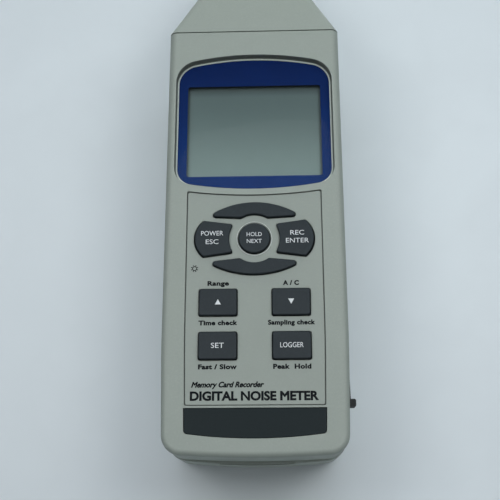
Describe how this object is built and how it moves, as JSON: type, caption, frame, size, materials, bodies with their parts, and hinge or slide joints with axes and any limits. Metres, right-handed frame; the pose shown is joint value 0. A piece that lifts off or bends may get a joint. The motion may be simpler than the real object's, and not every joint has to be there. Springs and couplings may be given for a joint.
{
  "type": "handheld sound level meter",
  "caption": "Handheld data-logging sound level meter: grey two-part casing, recessed display, rosette keypad, tapered nose with a half-inch microphone.",
  "frame": {"origin": "mouth of the tripod socket, on the rear face that the meter lies on", "axes": "+X to the right across the display, +Y along the casing towards the microphone, +Z out of the display"},
  "size_m": [0.0706, 0.2449, 0.0458],
  "materials": {
    "casing": "fine moulded grain",
    "collar": "ribbed, satin",
    "mic_metal": "fine turned, satin",
    "foil": "smooth foil",
    "seal": "matte",
    "border_blue": "printed, under the lens",
    "lens": "clear, polished",
    "lcd": "reflective liquid crystal cell",
    "frame_plastic": "smooth",
    "diffuser": "translucent",
    "board": "solder mask",
    "panel": "printed film, satin",
    "strip": "satin",
    "key": "moulded, satin",
    "steel": "zinc plated",
    "chip": "moulded epoxy",
    "tin": "tinned sheet",
    "ribbon": "polyimide film",
    "cell": "printed jacket",
    "brass": "turned",
    "cover": "matte",
    "jack": "smooth",
    "trimmer": "smooth",
    "rotor": "slotted",
    "cap": "smooth",
    "card": "moulded"
  },
  "bodies": {
    "casing": {"front_shell": "casing", "rear_shell": "casing", "mic_cone": "casing", "mic_collar": "collar", "mic_tube": "mic_metal", "mic_capsule": "mic_metal", "mic_diaphragm": "foil", "mic_grille": "mic_metal", "mic_seal": "seal", "display_border": "border_blue", "display_lens": "lens", "lcd_glass": "lcd", "display_frame": "frame_plastic", "backlight_panel": "diffuser", "contact_strips": "seal", "display_board": "board", "keypad_panel": "panel", "lower_strip": "strip", "keypad_mat": "seal", "keypad_board": "board", "keypad_screws": "steel", "main_board": "board", "board_screws": "steel", "board_chips": "chip", "shield_can": "tin", "buzzer": "chip", "display_ribbon": "ribbon", "keypad_ribbon": "ribbon", "preamp_board": "board", "mic_lead": "chip", "battery_cells": "cell", "battery_springs": "steel", "battery_contacts": "steel", "stand_pin": "steel", "tripod_insert": "brass", "case_screws": "steel", "port_cover_pin": "steel", "power_jack": "jack", "output_jack": "jack", "data_jack": "jack", "power_jack_pin": "steel", "trimmer_body": "trimmer", "reset_switch": "chip", "card_socket": "tin"},
    "tilt_stand": {"tilt_stand": "casing"},
    "battery_door": {"battery_door": "casing", "door_screws": "steel"},
    "port_cover": {"port_cover": "cover"},
    "memory_card": {"memory_card": "card"},
    "reset_button": {"reset_button": "cap"},
    "trimmer_rotor": {"trimmer_rotor": "rotor"},
    "hold_key": {"hold_key": "key"},
    "power_key": {"power_key": "key"},
    "record_key": {"record_key": "key"},
    "upper_key": {"upper_key": "key"},
    "light_key": {"light_key": "key"},
    "range_up_key": {"range_up_key": "key"},
    "weighting_key": {"weighting_key": "key"},
    "set_key": {"set_key": "key"},
    "log_key": {"log_key": "key"}
  },
  "joints": [
    {"name": "hold_key_press", "type": "slide", "parent": "casing", "child": "hold_key", "axis": [0, 0, -1], "range_m": [0, 0.0008], "stiffness_N_per_m": 600, "springref_m": -0.0006},
    {"name": "power_key_press", "type": "slide", "parent": "casing", "child": "power_key", "axis": [0, 0, -1], "range_m": [0, 0.0008], "stiffness_N_per_m": 600, "springref_m": -0.0006},
    {"name": "record_key_press", "type": "slide", "parent": "casing", "child": "record_key", "axis": [0, 0, -1], "range_m": [0, 0.0008], "stiffness_N_per_m": 600, "springref_m": -0.0006},
    {"name": "upper_key_press", "type": "slide", "parent": "casing", "child": "upper_key", "axis": [0, 0, -1], "range_m": [0, 0.0008], "stiffness_N_per_m": 600, "springref_m": -0.0006},
    {"name": "light_key_press", "type": "slide", "parent": "casing", "child": "light_key", "axis": [0, 0, -1], "range_m": [0, 0.0008], "stiffness_N_per_m": 600, "springref_m": -0.0006},
    {"name": "range_up_key_press", "type": "slide", "parent": "casing", "child": "range_up_key", "axis": [0, 0, -1], "range_m": [0, 0.0008], "stiffness_N_per_m": 600, "springref_m": -0.0006},
    {"name": "weighting_key_press", "type": "slide", "parent": "casing", "child": "weighting_key", "axis": [0, 0, -1], "range_m": [0, 0.0008], "stiffness_N_per_m": 600, "springref_m": -0.0006},
    {"name": "set_key_press", "type": "slide", "parent": "casing", "child": "set_key", "axis": [0, 0, -1], "range_m": [0, 0.0008], "stiffness_N_per_m": 600, "springref_m": -0.0006},
    {"name": "log_key_press", "type": "slide", "parent": "casing", "child": "log_key", "axis": [0, 0, -1], "range_m": [0, 0.0008], "stiffness_N_per_m": 600, "springref_m": -0.0006},
    {"name": "tilt_stand_hinge", "type": "hinge", "parent": "casing", "child": "tilt_stand", "pos_m": [0, 0.0176, 0.00175], "axis": [1, 0, 0], "range_deg": [0, 60]},
    {"name": "battery_door_release", "type": "slide", "parent": "casing", "child": "battery_door", "axis": [0, 0, -1], "range_m": [0, 0.02]},
    {"name": "port_cover_hinge", "type": "hinge", "parent": "casing", "child": "port_cover", "pos_m": [0.03305, -0.0816, 0.0276], "axis": [0, 0, 1], "range_deg": [0, 100]},
    {"name": "memory_card_slide", "type": "slide", "parent": "casing", "child": "memory_card", "axis": [0, -1, 0], "range_m": [0, 0.025]},
    {"name": "reset_button_press", "type": "slide", "parent": "casing", "child": "reset_button", "axis": [-1, 0, 0], "range_m": [0, 0.0004], "stiffness_N_per_m": 500, "springref_m": -0.0004},
    {"name": "trimmer_turn", "type": "hinge", "parent": "casing", "child": "trimmer_rotor", "pos_m": [0.032, -0.09, 0.0276], "axis": [1, 0, 0], "range_deg": [-135, 135]}
  ]
}
